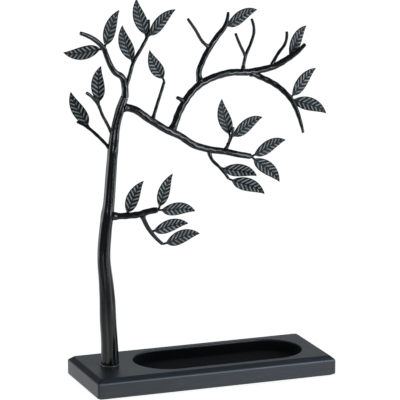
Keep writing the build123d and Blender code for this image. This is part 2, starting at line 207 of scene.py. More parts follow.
def satin_lacquer():
    """Sprayed satin lacquer: near black, broad soft reflections, a faint orange peel with lumps
    about 1.2 mm apart that breaks them up, and a faint grain along the board. Along the bevel's
    lower edge a fine paler line is a painted highlight, where that rounded edge catches light."""
    material = new_material("satin_black_lacquer_sprayed")
    place = node(material, "ShaderNodeTexCoord").outputs["Object"]
    peel = node(material, "ShaderNodeTexNoise", {"Scale": per_metre(1.2), "Detail": 2.0},
                {"Vector": place})
    bump = node(material, "ShaderNodeBump", {"Strength": 0.06, "Distance": mm(0.2)},
                {"Height": peel.outputs["Fac"]})
    cloud = node(material, "ShaderNodeTexNoise", {"Scale": per_metre(45), "Detail": 2.0},
                 {"Vector": place})
    rough = node(material, "ShaderNodeMapRange", {"To Min": 0.36, "To Max": 0.46},
                 {"Value": cloud.outputs["Fac"]})
    along = node(material, "ShaderNodeMapping", {"Scale": (0.12, 1, 1)}, {"Vector": place})
    grain = node(material, "ShaderNodeTexNoise", {"Scale": per_metre(1.6), "Detail": 3.0},
                 {"Vector": along.outputs["Vector"]})
    body = node(material, "ShaderNodeValToRGB", links={"Fac": grain.outputs["Fac"]},
                stops=[(0.3, linear("#1f2329")), (0.7, linear("#2a2e35"))])
    height = node(material, "ShaderNodeSeparateXYZ", links={"Vector": place}).outputs["Z"]
    # A paler line along the bevel's lower edge is a painted highlight, where the rounded edge
    # catches light
    edge = BOARD_TOP - BEVEL_DROP
    bevel_highlight_band = node(material, "ShaderNodeMapRange",
                  {"From Min": edge - BEVEL_HIGHLIGHT_HALF_WIDTH, "From Max": edge + BEVEL_HIGHLIGHT_HALF_WIDTH},
                  {"Value": height})
    line = node(material, "ShaderNodeValToRGB", links={"Fac": bevel_highlight_band.outputs["Result"]},
                stops=[(0, linear("#000000")), (0.5, linear("#ffffff")), (1, linear("#000000"))])
    colour = node(material, "ShaderNodeMix", {"data_type": "RGBA", "B": linear("#565b63")},
                  {"Factor": line.outputs["Color"], "A": body.outputs["Color"]})
    shader = node(material, "ShaderNodeBsdfPrincipled", {"IOR": 1.5, "Specular IOR Level": 0.4},
                  {"Base Color": colour.outputs["Result"], "Roughness": rough.outputs["Result"],
                   "Normal": bump.outputs["Normal"]})
    node(material, "ShaderNodeOutputMaterial", links={"Surface": shader.outputs["BSDF"]})
    return material


def finish_piece(piece, material, slot, *nodes):
    """Paint a piece, let it ride on the one body, and hide the CAD nodes it stands for."""
    piece.data.materials.clear()
    piece.data.materials.append(material)
    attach(piece, "root")
    if nodes:
        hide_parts(*nodes)


board = level_shell("lacquered_board", board_rows())
finish_piece(board, satin_lacquer(), "board_lacquer", "base_board")


# --- Felt -----------------------------------------------------------------------------------
# A sheet of thin black wool felt is glued under the board, a little inside its edge, with a
# hole punched over the screw. It keeps the board from scratching the table.

FELT_LOW, FELT_HIGH = (np.array(corner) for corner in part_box("base_felt"))
FELT_EDGE_ROUND = mm(0.35)
FELT_RIM = mm(3)                # flat of the felt that the edge's profile takes in


def felt_rows():
    """Levels from the hole's upper edge down, out along the underside, up the outer edge, and
    back over the top to the hole."""
    hole = [(COUNTERBORE_RADIUS, FELT_HIGH[2]), (COUNTERBORE_RADIUS, FELT_LOW[2]),
            (COUNTERBORE_RADIUS + FELT_EDGE_ROUND, FELT_LOW[2])]
    edge = round_corners([(FELT_RIM, FELT_LOW[2]), (0, FELT_LOW[2]), (0, FELT_HIGH[2]),
                          (FELT_RIM, FELT_HIGH[2])], FELT_EDGE_ROUND)
    rows = [level_loop(FOOT_X, radius, radius, radius, height) for radius, height in hole]
    rows += [level_loop(0, FELT_HIGH[0] - inset, FELT_HIGH[1] - inset, BOARD_CORNER, height)
             for inset, height in edge]
    return rows


def wool_felt():
    """Pressed wool felt: black, fully rough, with a fibrous fuzz drawn about 0.6 mm across,
    coarser than the real fibres so that it shows."""
    material = new_material("black_wool_felt_pressed")
    place = node(material, "ShaderNodeTexCoord").outputs["Object"]
    fuzz = node(material, "ShaderNodeTexNoise", {"Scale": per_metre(0.6), "Detail": 4.0},
                {"Vector": place})
    bump = node(material, "ShaderNodeBump", {"Strength": 0.5, "Distance": mm(0.3)},
                {"Height": fuzz.outputs["Fac"]})
    shader = node(material, "ShaderNodeBsdfPrincipled",
                  {"Base Color": linear("#17181a"), "Roughness": 1.0, "Sheen Weight": 0.3},
                  {"Normal": bump.outputs["Normal"]})
    node(material, "ShaderNodeOutputMaterial", links={"Surface": shader.outputs["BSDF"]})
    return material


felt = level_shell("felt_sheet", felt_rows(), closed_ends=False)
finish_piece(felt, wool_felt(), "felt", "base_felt")


# --- Tray lining ----------------------------------------------------------------------------
# A vacuum-formed pan of thin plastic, flocked with short black nylon fibre, is pressed into
# the pocket. Its wall runs into its floor in a cove, and its lip stays below the board's face.

LINING_THICKNESS = mm(0.8)
LINING_COVE = mm(2.4)
LIP_ROUND = mm(0.32)


def lining_rows():
    """Levels from the pan's underside up its outer wall, over the lip, down the inner wall and
    round the cove to the floor."""
    walls = round_corners([
        (3 * LINING_COVE, LINING_LOW[2]), (0, LINING_LOW[2]), (0, LINING_HIGH[2]),
        (LINING_THICKNESS, LINING_HIGH[2]),
        (LINING_THICKNESS, LINING_LOW[2] + LINING_THICKNESS + LINING_COVE),
    ], LIP_ROUND)
    turn = np.linspace(0, math.pi / 2, 9)
    cove = np.stack([LINING_THICKNESS + LINING_COVE * (1 - np.cos(turn)),
                     LINING_LOW[2] + LINING_THICKNESS + LINING_COVE * (1 - np.sin(turn))], axis=-1)
    profile = np.vstack([walls[1:-1], cove])
    half_x, half_y = TRAY_HALF_X - LINING_GAP, TRAY_HALF_Y - LINING_GAP
    return [level_loop(TRAY_X, half_x - inset, half_y - inset, half_y - inset, height)
            for inset, height in profile]


def nylon_flock():
    """Electrostatic flock: short upright fibres, so it is deep black from above with a weak
    sheen at a slant, and a speckle drawn about 0.5 mm across, coarser than the fibres."""
    material = new_material("black_nylon_flock")
    place = node(material, "ShaderNodeTexCoord").outputs["Object"]
    speckle = node(material, "ShaderNodeTexNoise", {"Scale": per_metre(0.5), "Detail": 3.0},
                   {"Vector": place})
    bump = node(material, "ShaderNodeBump", {"Strength": 0.4, "Distance": mm(0.3)},
                {"Height": speckle.outputs["Fac"]})
    shader = node(material, "ShaderNodeBsdfPrincipled",
                  {"Base Color": linear("#060607"), "Roughness": 1.0, "Sheen Weight": 0.02,
                   "Specular IOR Level": 0.1}, {"Normal": bump.outputs["Normal"]})
    node(material, "ShaderNodeOutputMaterial", links={"Surface": shader.outputs["BSDF"]})
    return material


lining = level_shell("flocked_pan", lining_rows())
finish_piece(lining, nylon_flock(), "flock", "tray_lining")


# --- Screw and washer -----------------------------------------------------------------------
# A cheese-head steel screw comes up through the board from below, with a flat washer under
# its head, and holds the tree. Both are bright zinc plated and keep their CAD shapes.

def zinc_plate():
    """Zinc-plated steel: pale bluish grey metal, half blurred, with a plating grain drawn about
    0.8 mm across, coarser than the real one so that it shows."""
    material = new_material("steel_zinc_plated")
    place = node(material, "ShaderNodeTexCoord").outputs["Object"]
    grain = node(material, "ShaderNodeTexNoise", {"Scale": per_metre(0.8), "Detail": 2.0},
                 {"Vector": place})
    rough = node(material, "ShaderNodeMapRange", {"To Min": 0.28, "To Max": 0.42},
                 {"Value": grain.outputs["Fac"]})
    shader = node(material, "ShaderNodeBsdfPrincipled",
                  {"Base Color": linear("#b9bcc0"), "Metallic": 1.0},
                  {"Roughness": rough.outputs["Result"]})
    node(material, "ShaderNodeOutputMaterial", links={"Surface": shader.outputs["BSDF"]})
    return material


ZINC = zinc_plate()
for fastener in ("fixing_screw", "screw_washer"):
    finish_piece(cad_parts[fastener], ZINC, "zinc_steel")


# --- Collar and trunk -----------------------------------------------------------------------
# The trunk is one tapering casting with a flat foot, standing on a thin turned collar. Its
# skin is worked into long, slowly turning flats and hollows like old bark. Tree and collar
# are sprayed with gloss black enamel.

COLLAR_LOW, COLLAR_HIGH = (np.array(corner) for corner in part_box("foot_collar"))
COLLAR_RADIUS = COLLAR_HIGH[1]
COLLAR_EDGE = mm(0.4)

TREE_ORIGIN = np.array([FOOT_X, 0, BOARD_TOP])
# Centre line in millimetres from the middle of the foot: x, y, height and diameter
TRUNK_LINE = [
    (0, 0, 0, 13.8), (0, 0, 16.5, 13.0), (-1.2, 0, 37, 12.4), (-2.2, 0, 62.5, 11.2),
    (-4.2, 0, 89, 9.9), (-2.6, 0, 109.5, 9.1), (0.3, 0, 130, 8.8), (2, 0, 150, 8.2),
    (4, 0, 172, 7.4), (8, 0, 196.5, 6.8), (14, 0, 213.5, 6.2),
]
TRUNK_AROUND = 96
TRUNK_STEP = mm(0.8)
FLAT_COUNT = 5                  # broad lobes round the trunk
FLAT_DEPTH = 0.085              # as a share of its radius
FLAT_START = 2.01               # phase at the foot, which sets the hollows' places
FLAT_TURN = 0.00815             # change of phase for each millimetre of height
FLAT_SWELL = 0.4                # how much one lobe deepens and fades along its length
OVAL_SHARE = 0.4                # of the flattened oval, as a share of the lobes' depth
BARK_DEPTH = 0.017              # as a share of the radius
KNOT_HEIGHTS = mm([121, 172, 181, 204])
KNOT_SWELL = 0.09
KNOT_SPREAD = mm(4.5)


def smooth_line(points, step):
    """Points every step along a curve through the given ones, the diameters there, and the
    distances travelled. Each span is a cubic whose end slopes are those of the parabola through
    three neighbours."""
    points = mm(points)
    places, diameters = points[:, :3] + TREE_ORIGIN, points[:, 3]
    chord = np.linalg.norm(np.diff(places, axis=0), axis=1)
    chord = np.concatenate([[0], np.cumsum(chord)])
    slopes = np.gradient(places, chord, axis=0, edge_order=2)
    fine = np.linspace(0, chord[-1], 40 * len(points))
    span = np.clip(np.searchsorted(chord, fine, side="right") - 1, 0, len(points) - 2)
    width = (chord[span + 1] - chord[span])[:, None]
    t = (fine - chord[span])[:, None] / width
    curve = ((2 * t ** 3 - 3 * t ** 2 + 1) * places[span]
             + (t ** 3 - 2 * t ** 2 + t) * width * slopes[span]
             + (3 * t ** 2 - 2 * t ** 3) * places[span + 1]
             + (t ** 3 - t ** 2) * width * slopes[span + 1])
    travelled = np.linalg.norm(np.diff(curve, axis=0), axis=1)
    travelled = np.concatenate([[0], np.cumsum(travelled)])
    even = np.linspace(0, travelled[-1], max(6, round(travelled[-1] / step)))
    places = np.stack([np.interp(even, travelled, curve[:, axis]) for axis in range(3)], axis=-1)
    return places, np.interp(np.interp(even, travelled, fine), chord, diameters), even


def tube_rows(places, radii, around):
    """Loops square to a line: centre + radius * (cos a * across + sin a * along x across),
    where across is the part of +Y square to the line. Radii may differ round each loop."""
    along = np.gradient(places, axis=0)
    along /= np.linalg.norm(along, axis=1, keepdims=True)
    back = np.array([0, 1.0, 0])
    across = back - along * (along @ back)[:, None]
    across /= np.linalg.norm(across, axis=1, keepdims=True)
    upward = np.cross(along, across)
    angle = np.linspace(0, 2 * math.pi, around, endpoint=False)
    radii = np.broadcast_to(radii.reshape(len(places), -1), (len(places), around))[..., None]
    return (places[:, None] + radii * (np.cos(angle)[None, :, None] * across[:, None]
                                       + np.sin(angle)[None, :, None] * upward[:, None]))


def bark(angle, height):
    """Fine bark, between -1.7 and 1.7: eleven ridges that wander as they climb and show where
    three broad waves let them, plus seven slower ridges at 0.7 of their depth."""
    ridges = np.sin(11 * angle + 0.05 * height + 1.3 * np.sin(0.11 * height))
    showing = np.sin(3 * angle - 0.037 * height + 0.8)
    slower = np.sin(7 * angle - 0.083 * height + 2 * np.sin(0.045 * height))
    return ridges * showing + 0.7 * slower


def trunk_rows():
    """The radius is half the diameter times 1 + broad lobes + a flattened oval + fine bark +
    knots. The lobes are 2|cos(count/2 * angle + turn)| less its mean, 4/pi, so sharp hollows
    part them, and the turn changes with height. A knot is a bell curve over height."""
    places, diameters, _ = smooth_line(TRUNK_LINE, TRUNK_STEP)
    angle = np.linspace(0, 2 * math.pi, TRUNK_AROUND, endpoint=False)[None, :]
    climb = places[:, 2:] - BOARD_TOP
    height = climb * 1000
    phase = FLAT_COUNT / 2 * angle + FLAT_START - FLAT_TURN * height
    lobes = 2 * np.abs(np.cos(phase)) - 4 / math.pi
    lobes = lobes * (1 + FLAT_SWELL * np.sin(0.11 * height + 2 * angle))
    oval = OVAL_SHARE * np.sin(2 * angle - 0.014 * height)
    knots = np.exp(-((climb - KNOT_HEIGHTS) / KNOT_SPREAD) ** 2).sum(axis=1, keepdims=True)
    radii = diameters[:, None] / 2 * (1 + FLAT_DEPTH * (lobes + oval)
                                      + BARK_DEPTH * bark(angle, height) + KNOT_SWELL * knots)
    rows = tube_rows(places, radii, TRUNK_AROUND)
    return rows[places[:, 2] > COLLAR_HIGH[2]]


def black_enamel(name, body, roughness, lump_mm, lump_strength):
    """Gloss enamel sprayed on cast metal: black, with long soft reflections that the casting's
    low lumps bend and break."""
    material = new_material(name)
    place = node(material, "ShaderNodeTexCoord").outputs["Object"]
    lumps = node(material, "ShaderNodeTexNoise", {"Scale": per_metre(lump_mm), "Detail": 1.0},
                 {"Vector": place})
    bump = node(material, "ShaderNodeBump", {"Strength": lump_strength, "Distance": mm(0.6)},
                {"Height": lumps.outputs["Fac"]})
    rough = node(material, "ShaderNodeMapRange",
                 {"To Min": roughness - 0.05, "To Max": roughness + 0.08},
                 {"Value": lumps.outputs["Fac"]})
    shader = node(material, "ShaderNodeBsdfPrincipled",
                  {"Base Color": linear(body), "IOR": 1.5, "Specular IOR Level": 0.45},
                  {"Roughness": rough.outputs["Result"], "Normal": bump.outputs["Normal"]})
    node(material, "ShaderNodeOutputMaterial", links={"Surface": shader.outputs["BSDF"]})
    return material


TREE_ENAMEL = black_enamel("black_enamel_on_cast_metal", "#040506", 0.17, 6.0, 0.12)
# The collar's enamel is painted greyer, a painted sheen for the light its edge catches, and is
# duller
COLLAR_SHEEN_ENAMEL = black_enamel("black_enamel_collar_painted_sheen", "#3b3c3d", 0.3, 5.0, 0.1)

collar_profile = round_corners([
    (HOLE_RADIUS, COLLAR_HIGH[2]), (HOLE_RADIUS, COLLAR_LOW[2]), (COLLAR_RADIUS, COLLAR_LOW[2]),
    (COLLAR_RADIUS, COLLAR_HIGH[2]), (HOLE_RADIUS + COLLAR_EDGE, COLLAR_HIGH[2]),
], COLLAR_EDGE)
collar_rows = [level_loop(FOOT_X, radius, radius, radius, height)
               for radius, height in collar_profile]
collar = level_shell("turned_collar", collar_rows, closed_ends=False)
finish_piece(collar, COLLAR_SHEEN_ENAMEL, "tree_enamel", "foot_collar")

trunk = closed_shell("trunk_casting", trunk_rows())
finish_piece(trunk, TREE_ENAMEL, "tree_enamel", "trunk")


# --- Boughs and twigs -----------------------------------------------------------------------
# Each bough is a tapered metal rod, hammered lightly along its length, bent to its route and
# welded to what carries it, with the weld dressed to a flare. Its free end is left blunt.

# Centre lines in millimetres, as the trunk's: x, y, height and diameter
BOUGH_LINES = {
    "bough_left": [
        (14, 0, 213.5, 5.8), (14, 0, 223, 5.4), (10.7, -1, 230.5, 4.9), (6.5, -1, 233.2, 4.7),
        (2, -2, 239.5, 4.4), (-1.5, -3, 247, 4.2), (-4, -4, 253, 4.1), (-13.3, -6, 261.7, 3.8),
        (-24.5, -8, 267, 3.0)],
    "twig_left_tall": [
        (14, 0, 219, 3.4), (18, 1, 229, 3.2), (21.6, 2.5, 238.8, 3.0), (30.6, 5, 252, 2.8),
        (34.2, 6, 257.7, 2.7), (36.4, 8, 264, 2.5), (37.2, 10, 271.5, 2.2)],
    "bough_lower": [
        (10, 0, 206, 6.0), (21.5, -1, 203.5, 6.0), (33.5, -2, 195, 5.9), (47.5, -3, 186, 5.8),
        (59, -3, 180, 5.7), (70, -4, 172.5, 5.7), (81.5, -4, 168.5, 5.6), (94.5, -5, 165.9, 5.2),
        (106, -6, 163, 5.0), (117, -6, 160.4, 4.6)],
    "arch_bough": [
        (50.5, -3, 184.3, 5.2), (54.3, -2.5, 190.5, 5.7), (57.8, -1, 197.7, 5.7),
        (64.4, 1, 207.6, 5.7), (78.2, 3, 219.7, 5.6), (88.4, 4, 223.6, 5.6), (101, 6, 226, 5.6),
        (122, 7, 225.7, 5.5), (145.5, 5, 231.2, 5.2), (151.8, 4, 234.9, 4.9),
        (158.4, 2, 239.8, 4.0), (165, 0, 246.5, 2.8)],
    "arch_tail": [
        (119.5, 7, 225.8, 4.8), (128, 6, 221.8, 4.7), (137, 4, 217.3, 4.6), (146, 1, 210.5, 4.4),
        (151.5, -2, 204, 4.2), (155.7, -5, 194.8, 3.7), (158.3, -8, 184.4, 2.9),
        (159.5, -10, 177, 2.1)],
    "arch_stub": [
        (63.4, 0.5, 206.4, 3.2), (59.2, -1, 209.3, 3.1), (56, -3, 211, 2.9)],
    "bough_top": [
        (78.2, 3, 219.7, 4.8), (76.6, 4, 228, 4.7), (80.9, 6, 237.3, 4.6), (87.3, 8, 246.8, 4.6),
        (94.2, 9, 255.4, 4.5), (100.2, 10, 261.7, 3.9), (104.2, 12, 273.5, 2.2)],
    "twig_top_side": [
        (87.3, 8, 246.8, 2.9), (82.5, 7, 250.3, 2.7), (73.2, 3, 262.6, 2.5), (66, 0, 271.9, 2.3)],
    "twig_crown": [
        (114.8, 6.8, 226, 2.9), (117.3, 8, 238.2, 2.7), (122.9, 10, 248.6, 2.5),
        (125.7, 11.5, 256, 2.5), (124.6, 14, 266.8, 2.3)],
    "twig_crown_prong": [
        (117.3, 8, 238.2, 2.5), (111.7, 5, 247.6, 2.4), (106.5, 2, 257.8, 2.3)],
    "twig_outer": [
        (138, 5.8, 228.8, 2.8), (143.6, 4, 239.7, 2.7), (148, 2, 246.6, 2.5),
        (148.5, -1, 257.3, 2.4)],
    "twig_side_high": [
        (5, 0, 181, 2.8), (-1, -2, 193.7, 2.6), (-6, -4, 202.3, 2.5), (-9, -5, 209.5, 2.6),
        (-14.5, -7, 216.5, 2.6), (-20, -8, 220.7, 2.5)],
    "twig_side_low": [
        (3.8, 0, 171.5, 2.8), (-2, 3, 178.5, 2.7), (-7.5, 5, 184.5, 2.7), (-12.5, 7, 189.3, 2.6),
        (-22, 10, 195, 2.2)],
    "twig_inner": [
        (35.5, -2.2, 193.5, 2.8), (41.5, 1, 207.5, 2.6), (48, 4, 223, 2.4)],
    "twig_rising": [
        (94.5, -5, 165.8, 2.9), (98.6, -3, 170.9, 2.7), (101.1, -1, 175.6, 2.4)],
    "twig_rising_stub": [
        (97.3, -3.5, 169.6, 2.4), (101, -5, 178.3, 2.3), (102.2, -5, 185, 2.1)],
    "twig_hanging": [
        (82, -4, 168.3, 3.0), (83.5, -6, 161, 2.8), (89.5, -9, 154, 2.5), (95.6, -12, 145.3, 2.2)],
    "branch_small": [
        (-0.5, 0, 121, 5.4), (7.5, -2, 120.3, 5.2), (13, -3, 120.2, 5.2), (22.5, -4, 120.6, 5.2),
        (31.6, -5, 122.7, 5.1), (39, -6, 123.5, 4.6)],
    "twig_small_hanging": [
        (26, -4.3, 121.3, 3.9), (33.6, -3, 105.9, 3.4), (39, -2, 99.5, 3.0), (44.5, -1, 94.5, 2.6)],
}
# Radius of what each bough is welded to, in millimetres. The first runs on from the trunk
CARRIER_RADII = {
    "bough_left": 0, "twig_left_tall": 2.6, "bough_lower": 3.3, "arch_bough": 2.9,
    "arch_tail": 2.75, "arch_stub": 2.85, "bough_top": 2.8, "twig_top_side": 2.3,
    "twig_crown": 2.75, "twig_crown_prong": 1.35, "twig_outer": 2.6, "twig_side_high": 3.6,
    "twig_side_low": 3.7, "twig_inner": 2.95, "twig_rising": 2.6, "twig_rising_stub": 1.35,
    "twig_hanging": 2.8, "branch_small": 4.4, "twig_small_hanging": 2.6,
}
BOUGH_AROUND = 24
BOUGH_STEP = mm(0.7)
WELD_FLARE = 0.30               # extra radius at the weld, as a share
WELD_REACH = 0.6                # of the flare along the bough, in carrier radii
START_NARROWING = 0.45          # less radius at the hidden start, as a share
START_REACH = 0.5               # of that along the bough, in carrier radii
HAMMER_DEPTH = 0.05             # of the hammered flats, as a share of the radius
HAMMER_PITCH = mm(7.5)          # along the bough from one flat to the next
THREE_SIDED_SHARE = 0.6         # of the second wave, which has three sides
THREE_SIDED_TURN = 2.2          # radians that it turns in one pitch
TIP_DOME = 0.45                 # height of the blunt end, as a share of its radius
POLE_SHARE = 0.02               # radius of the last loop, as a share of the end's


def bough_rows(line, carrier_radius, seed):
    """The radius is half the diameter times 1 + a flare that peaks at the carrier's skin, as
    exp(-((distance - carrier radius) / reach)^2), times 1 + two crossed waves for the hammered
    flats. Inside the carrier it narrows, so that nothing of the start shows."""
    places, diameters, travelled = smooth_line(line, BOUGH_STEP)
    phase = np.random.default_rng(seed).uniform(0, 2 * math.pi, 3)
    angle = np.linspace(0, 2 * math.pi, BOUGH_AROUND, endpoint=False)[None, :]
    distance = travelled[:, None]
    pitches = distance / HAMMER_PITCH
    wave = (np.sin(2 * math.pi * pitches + phase[0]) * np.cos(2 * angle + phase[1])
            + THREE_SIDED_SHARE * np.cos(3 * angle + phase[2] + THREE_SIDED_TURN * pitches))
    flare = 0
    if carrier_radius > 0:
        skin = mm(carrier_radius)
        flare = (WELD_FLARE * np.exp(-((distance - skin) / (WELD_REACH * skin)) ** 2)
                 - START_NARROWING * np.exp(-(distance / (START_REACH * skin)) ** 2))
    return places, diameters[:, None] / 2 * (1 + flare) * (1 + HAMMER_DEPTH * wave)


def bough(name, line, carrier_radius, seed):
    """One bough as a closed tube. Its blunt end is half an ellipse, whose loops lie at the sine
    of evenly spaced angles and shrink as the square root of 1 - sine^2."""
    places, radii = bough_rows(line, carrier_radius, seed)
    dome_height = TIP_DOME * mm(line[-1][3]) / 2
    direction = (places[-1] - places[-2]) / np.linalg.norm(places[-1] - places[-2])
    share = np.sin(np.linspace(0, math.pi / 2, 7))[1:, None]
    kept = max(3, len(places) - math.ceil(dome_height / BOUGH_STEP) - 1)
    base = places[-1] - direction * dome_height
    places = np.vstack([places[:kept], base, base + direction * dome_height * share])
    shrink = np.sqrt(np.clip(1 - share ** 2, POLE_SHARE ** 2, 1))
    radii = np.vstack([radii[:kept], radii[-1:], radii[-1:] * shrink])
    return closed_shell(name, tube_rows(places, radii, BOUGH_AROUND))


for order, (name, line) in enumerate(BOUGH_LINES.items()):
    rod = bough(name + "_rod", line, CARRIER_RADII[name], order)
    finish_piece(rod, TREE_ENAMEL, "tree_enamel", name)


# --- Leaves ---------------------------------------------------------------------------------
# Each leaf is a small casting: a folded blade with one full edge and one hollow edge, seven
# pairs of engraved veins and a flat stem welded to its twig. The raised panels between the
# veins are painted grey as a painted highlight, so they look lit and paler than the grooves.

# Name, bough, number of the point on its line, and heading, lean and roll in degrees
LEAVES = [
    ("leaf_left_up", "bough_left", 6, 67, 0, 6),
    ("leaf_left_out", "bough_left", 6, -178, 5, -8),
    ("leaf_tall_low", "twig_left_tall", 2, 106, -4, -6),
    ("leaf_tall_up", "twig_left_tall", 4, 104, 0, 4),
    ("leaf_tall_out", "twig_left_tall", 4, 41, 2, 10),
    ("leaf_inner", "twig_inner", 2, 119, -15, 0),
    ("leaf_side_high", "twig_side_high", 3, 89, -8, -5),
    ("leaf_side_low", "twig_side_low", 3, 113, 17, 5),
    ("leaf_top", "bough_top", 5, 22, 9, 8),
    ("leaf_outer", "arch_bough", 9, 51, 16, 5),
    ("leaf_tail_up", "arch_tail", 4, 45, 5, 8),
    ("leaf_tail_down", "arch_tail", 4, -24, -11, -6),
    ("leaf_rising_up", "twig_rising", 2, 102, 0, -6),
    ("leaf_rising_out", "twig_rising", 2, 26, 4, 6),
    ("leaf_end_up", "bough_lower", 9, 20, 4, 8),
    ("leaf_end_down", "bough_lower", 9, -43, -3, -5),
    ("leaf_hanging_mid", "twig_hanging", 2, -16, -3, 6),
    ("leaf_hanging_end", "twig_hanging", 3, -25, -7, 3),
    ("leaf_small_near", "branch_small", 2, 66, -12, -6),
    ("leaf_small_up", "branch_small", 5, 72, -11, 6),
    ("leaf_small_out", "branch_small", 5, -7, 5, 8),
    ("leaf_drop_mid", "twig_small_hanging", 1, 7, 1, 6),
    ("leaf_drop_end", "twig_small_hanging", 3, 10, 3, -5),
]
# The leaf is 0.1 mm shorter than the CAD's, so that a twisted point stays inside its box
LEAF_LENGTH, STEM_LENGTH, STEM_HALF = mm(31.9), mm(3.4), mm(0.85)
FULL_SIDE, SLIM_PULL, TIP_HALF = mm(7.0), mm(8.4), mm(0.2)
SLIM_NEAR, SLIM_FAR = 0.25, 0.68    # places of the slim edge's handles, as shares of the blade
SLIM_FAR_PULL = 0.1                 # pull of the far handle, as a share of the near one's
MIDRIB_SHARE = 0.4                  # where the midrib lies between the edges
ROW_CROWDING = 0.12                 # draws the rows of points towards the midrib
LEAF_THICKNESS = mm(1.2)
LEAF_FOLD = math.radians(9)
MARGIN_ROUND, MARGIN_DROP = mm(0.5), mm(0.42)
VEIN_PAIRS = 7
VEIN_FIRST, VEIN_LAST = STEM_LENGTH + mm(1.4), LEAF_LENGTH - mm(5.5)
VEIN_ANGLE = math.radians(44)
VEIN_CURVE = mm(40)                 # the larger, the straighter the veins
VEIN_DEPTH = mm(0.42)
# The raised panels, which the leaf's material paints paler as a highlight, rise between these
# distances from a vein, the midrib, the edge, the leaf's root and its point, and the grooves
# begin between these distances from the root
PANEL_FROM_VEIN, PANEL_FROM_MIDRIB = mm([0.496, 1.178]), mm([0.275, 0.715])
PANEL_FROM_EDGE = mm([0.375, 0.75])
PANEL_FROM_ROOT, PANEL_FROM_POINT = mm([3.06, 4.42]), mm([0.8, 2.0])
GROOVES_FROM_ROOT = mm([2.38, 4.08])
BEND_RANGE, TWIST_RANGE = 0.035, 0.12    # rise at the point as a share of length, and radians
LEAF_STATIONS, LEAF_ACROSS = 130, 45


def step_up(value, low_high):
    """0 below the low end, 1 above the high one, and 3t^2 - 2t^3 between."""
    low, high = low_high
    t = np.clip((value - low) / (high - low), 0, 1)
    return t * t * (3 - 2 * t)


def leaf_edges(x):
    """Full edge: a circular arc over the chord from stem to point. Slim edge: a cubic Bezier
    that swells near the stem and hollows towards the point. Both as heights over x."""
    span = LEAF_LENGTH - STEM_LENGTH
    share = np.clip((x - STEM_LENGTH) / span, 0, 1)
    chord = STEM_HALF + (TIP_HALF - STEM_HALF) * share
    rise = FULL_SIDE - (STEM_HALF + TIP_HALF) / 2
    radius = (span ** 2 / 4 + rise ** 2) / (2 * rise)
    full = chord + np.sqrt(radius ** 2 - ((share - 0.5) * span) ** 2) - (radius - rise)
    t = np.linspace(0, 1, 200)
    near, far = 3 * t * (1 - t) ** 2, 3 * t ** 2 * (1 - t)
    curve_x = near * SLIM_NEAR + far * SLIM_FAR + t ** 3
    curve_y = -(STEM_HALF * (1 - t) ** 3 + SLIM_PULL * (near + SLIM_FAR_PULL * far)
                + TIP_HALF * t ** 3)
    return full, np.interp(share, curve_x, curve_y)


def raised_panel_share(x, from_midrib, from_edge):
    """Share of raised panel on the face, from 0 to 1, which the material paints paler as a
    highlight. It is 0 in the veins, which lie where x - distance from the midrib /
    tan(vein angle) meets an even spacing, and 0 along the midrib, the edge and the stem."""
    spacing = (VEIN_LAST - VEIN_FIRST) / (VEIN_PAIRS - 1)
    foot = x - from_midrib / math.tan(VEIN_ANGLE) * (1 - from_midrib / VEIN_CURVE)
    phase = (foot - VEIN_FIRST) / spacing
    to_vein = np.abs(phase - np.round(phase)) * spacing * math.sin(VEIN_ANGLE)
    return (step_up(to_vein, PANEL_FROM_VEIN) * step_up(from_midrib, PANEL_FROM_MIDRIB)
            * step_up(from_edge, PANEL_FROM_EDGE) * step_up(x, PANEL_FROM_ROOT)
            * step_up(LEAF_LENGTH - x, PANEL_FROM_POINT))


def leaf_shell(bend, twist):
    """Loops across the leaf, first over its face and then back under it, as (x, y, z), and the
    share of raised panel at each point, which the material paints paler as a highlight. The
    height is the fold, which rises evenly from the middle, less the grooves and the rounded
    margin. The blade then lifts by bend * share^2 * length and turns by twist * share, with
    the share of its length at x."""
    x = np.linspace(0, LEAF_LENGTH, LEAF_STATIONS)[:, None]
    full, slim = leaf_edges(x)
    midrib = (full + slim) * MIDRIB_SHARE
    side = np.cos(np.linspace(0, math.pi, LEAF_ACROSS))[None, :]
    side = side * (1 - ROW_CROWDING * (1 - side ** 2))
    y = midrib + np.where(side > 0, side * (full - midrib), -side * (slim - midrib))
    from_edge = np.where(side > 0, full - y, y - slim)
    panel = raised_panel_share(x, np.abs(y - midrib), from_edge)
    fold = math.tan(LEAF_FOLD) * np.abs(y)
    rounding = MARGIN_DROP * step_up(MARGIN_ROUND - from_edge, (0, MARGIN_ROUND))
    grooves = VEIN_DEPTH * (1 - panel) * step_up(x, GROOVES_FROM_ROOT)
    face = fold + LEAF_THICKNESS / 2 - grooves - rounding
    back = fold - LEAF_THICKNESS / 2 + rounding / 2
    share = x / LEAF_LENGTH
    lift, turn = bend * share ** 2 * LEAF_LENGTH, twist * share
    y = np.concatenate([y, y[:, ::-1]], axis=1)
    z = np.concatenate([face, back[:, ::-1]], axis=1)
    rows = np.stack([np.broadcast_to(x, y.shape), y * np.cos(turn) - z * np.sin(turn),
                     y * np.sin(turn) + z * np.cos(turn) + lift], axis=-1)
    return rows, np.concatenate([panel, np.zeros_like(panel)], axis=1)


def leaf_axes(heading, lean, roll):
    """Along, across and face directions of a leaf. Heading is seen from the front, lean tips
    the point back, and roll turns the blade about its own midrib."""
    heading, lean, roll = np.radians([heading, lean, roll])
    along = np.array([math.cos(heading) * math.cos(lean), math.sin(lean),
                      math.sin(heading) * math.cos(lean)])
    face = np.array([0, -1.0, 0]) + along * along[1]
    face /= np.linalg.norm(face)
    across = np.cross(face, along)
    return np.array([along, across * math.cos(roll) + face * math.sin(roll),
                     face * math.cos(roll) - across * math.sin(roll)])


